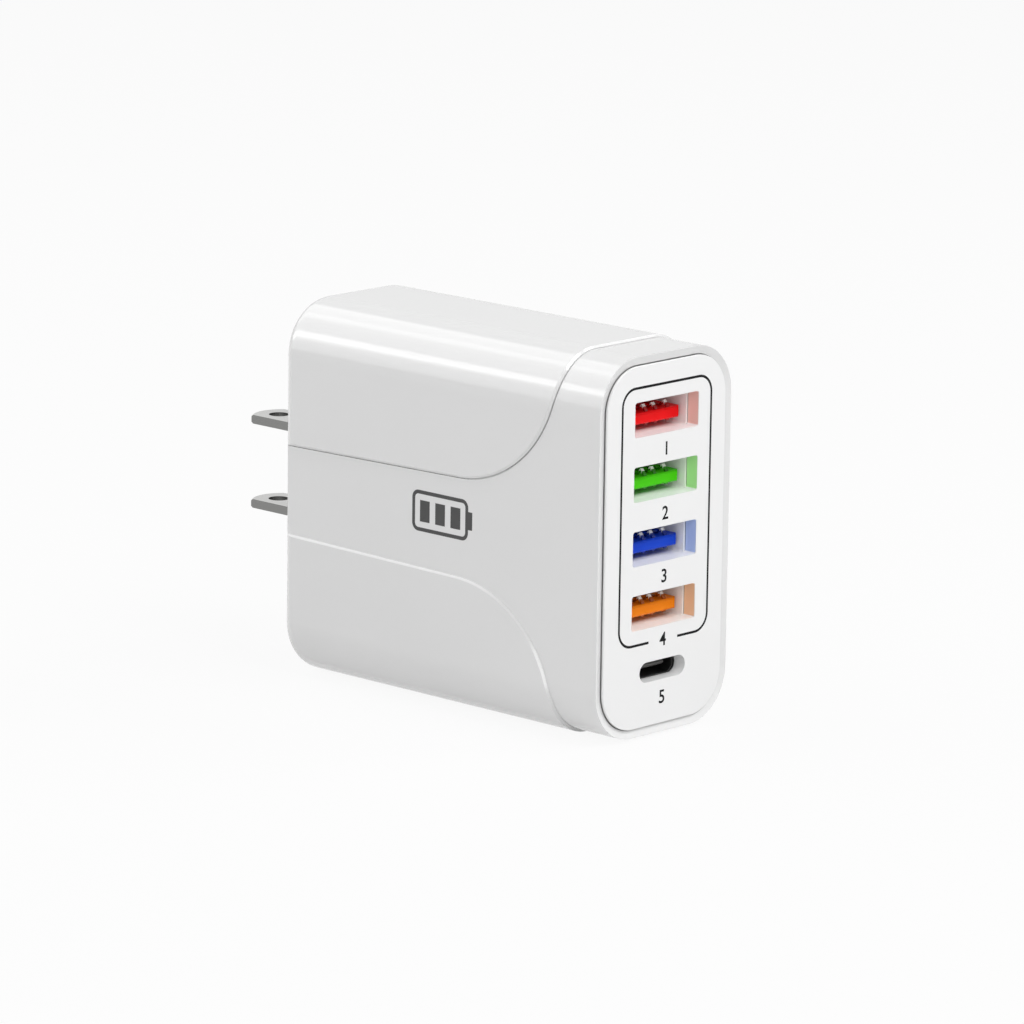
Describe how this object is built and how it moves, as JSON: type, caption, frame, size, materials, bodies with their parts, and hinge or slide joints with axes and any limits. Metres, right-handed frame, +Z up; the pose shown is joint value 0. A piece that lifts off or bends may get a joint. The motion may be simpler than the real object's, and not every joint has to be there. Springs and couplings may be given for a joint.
{
  "type": "multi-port usb wall charger",
  "caption": "White wall-plug charger: a tall rounded housing with flat plug blades behind and a stack of type A sockets over a type C socket in front.",
  "frame": {"origin": "on the base, in the middle of the housing's width and depth", "axes": "+Z up; +Y from the ports to the plug blades; +X to the right when facing the ports"},
  "size_m": [0.028, 0.0805, 0.0552],
  "materials": {
    "white_housing": "smooth gloss",
    "white_panel": "smooth satin gloss",
    "blade_metal": "nickel plated",
    "spring_metal": "plain spring strip",
    "port_metal": "bright tinned",
    "contact_metal": "gold flashed",
    "red_plastic": "smooth",
    "green_plastic": "smooth",
    "blue_plastic": "smooth",
    "orange_plastic": "smooth",
    "black_plastic": "moulded matt",
    "board": "solder mask",
    "ferrite": "sintered matt",
    "winding": "enamelled copper",
    "capacitor_sleeve": "shrink sleeve",
    "disc_coating": "dipped coating"
  },
  "bodies": {
    "root": {"blade_spring_lower": "spring_metal", "blade_spring_upper": "spring_metal", "board_header": "black_plastic", "bridge_rectifier": "black_plastic", "choke_core": "ferrite", "choke_winding": "winding", "front_panel": "white_panel", "fuse": "black_plastic", "input_capacitor_1": "capacitor_sleeve", "input_capacitor_2": "capacitor_sleeve", "main_board": "board", "main_shell": "white_housing", "output_capacitor_1": "capacitor_sleeve", "output_capacitor_2": "capacitor_sleeve", "plug_blade_lower": "blade_metal", "plug_blade_upper": "blade_metal", "port_board": "board", "port_chip_1": "black_plastic", "port_chip_2": "black_plastic", "rectifier_chip": "black_plastic", "switch_chip": "black_plastic", "transformer_bobbin": "black_plastic", "transformer_core": "ferrite", "transformer_winding": "winding", "usb_a_contacts_1": "contact_metal", "usb_a_contacts_2": "contact_metal", "usb_a_contacts_3": "contact_metal", "usb_a_contacts_4": "contact_metal", "usb_a_core_1": "red_plastic", "usb_a_core_2": "green_plastic", "usb_a_core_3": "blue_plastic", "usb_a_core_4": "orange_plastic", "usb_a_shell_1": "port_metal", "usb_a_shell_2": "port_metal", "usb_a_shell_3": "port_metal", "usb_a_shell_4": "port_metal", "usb_c_contacts": "contact_metal", "usb_c_core": "black_plastic", "usb_c_shell": "port_metal", "y_capacitor": "disc_coating"}
  },
  "joints": []
}
